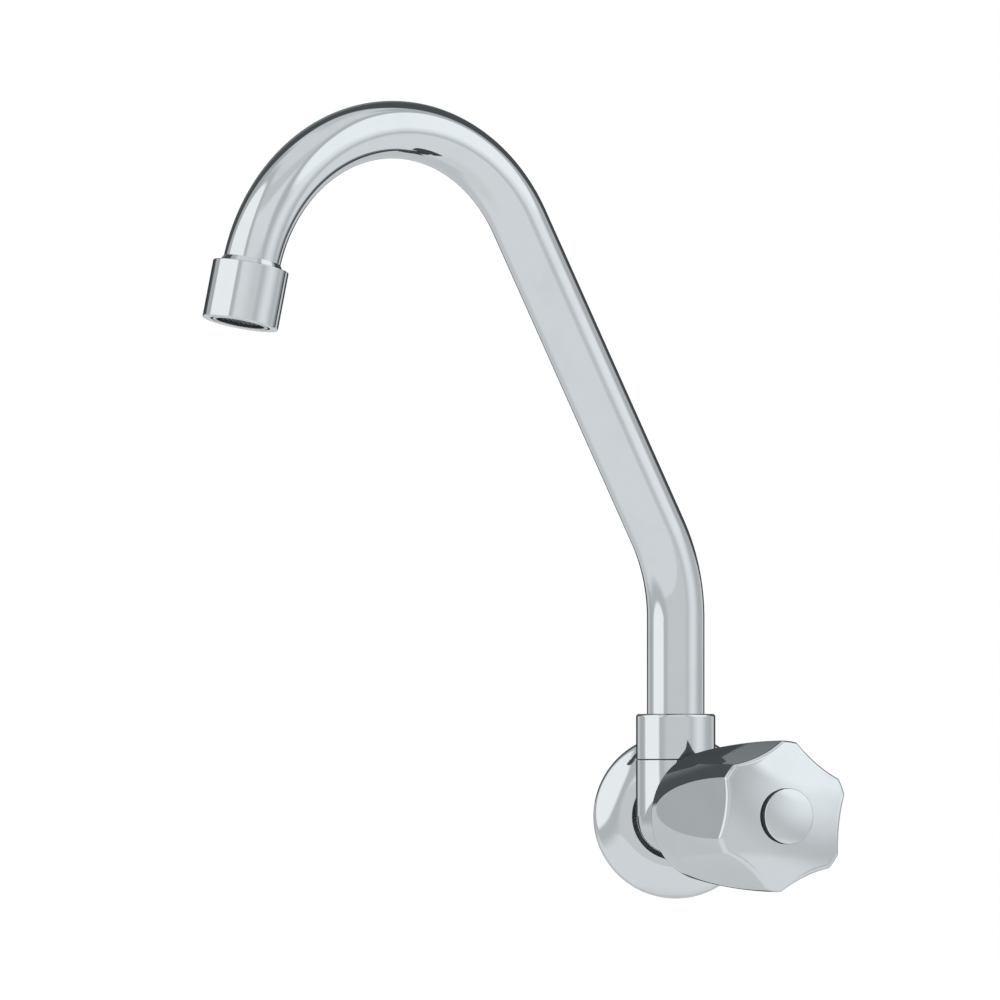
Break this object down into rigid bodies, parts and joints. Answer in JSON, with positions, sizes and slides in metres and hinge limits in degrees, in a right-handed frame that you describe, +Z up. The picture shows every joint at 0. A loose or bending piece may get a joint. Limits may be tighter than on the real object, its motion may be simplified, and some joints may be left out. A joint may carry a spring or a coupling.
{
  "type": "wall faucet",
  "caption": "Chromed wall faucet with a swivelling hooked spout, a fluted six-sided handle on a side-angled valve, a domed wall flange and a screw-on aerator.",
  "frame": {"origin": "centre of the inlet thread in the plane of the wall", "axes": "+Y along the inlet thread into the wall, +Z up, +X to the right of someone facing the tap"},
  "size_m": [0.2008, 0.1592, 0.2493],
  "materials": {
    "chrome_plate": "polished chrome plate over brass",
    "turned_brass": "turned, uncoated",
    "vulcanised_fibre": "red sheet fibre, cut",
    "black_rubber": "moulded nitrile rubber",
    "grey_foam_rubber": "cut closed-cell rubber sheet",
    "white_acetal": "moulded acetal",
    "black_acetal": "moulded black acetal",
    "stainless_steel": "plain stainless steel"
  },
  "bodies": {
    "tap_body": {"body": "chrome_plate", "valve_seat": "turned_brass", "wall_flange": "chrome_plate", "flange_gasket": "grey_foam_rubber", "valve_bonnet": "turned_brass", "bonnet_washer": "vulcanised_fibre", "spout_nut": "chrome_plate"},
    "handle": {"valve_stem": "turned_brass", "stem_o_rings": "black_rubber", "stem_circlip": "stainless_steel", "handle": "chrome_plate", "handle_screw": "stainless_steel", "handle_cap": "chrome_plate"},
    "plunger": {"valve_plunger": "turned_brass", "seat_washer": "black_rubber", "washer_screw": "stainless_steel"},
    "spout": {"spout_tube": "chrome_plate", "spout_bush": "turned_brass", "spout_o_rings": "black_rubber", "slip_washer": "white_acetal", "outlet_sleeve": "chrome_plate", "aerator_housing": "chrome_plate", "aerator_gasket": "black_rubber", "aerator_cage": "white_acetal", "aerator_diffuser": "black_acetal", "aerator_screen": "stainless_steel"}
  },
  "joints": [
    {"name": "spout_swivel", "type": "hinge", "parent": "tap_body", "child": "spout", "pos_m": [0, -0.038, 0.03], "axis": [0, 0, 1], "range_deg": [-35, 145]},
    {"name": "handle_turn", "type": "hinge", "parent": "tap_body", "child": "handle", "pos_m": [0, -0.038, 0], "axis": [0.5, -0.866, 0], "range_deg": [0, 540]},
    {"name": "plunger_slide", "type": "slide", "parent": "tap_body", "child": "plunger", "axis": [0.5, -0.866, 0], "range_m": [0, 0.0045]}
  ],
  "couplings": [
    {"joint": "plunger_slide", "follows": "handle_turn", "m_per_rad": 0.00047746}
  ]
}
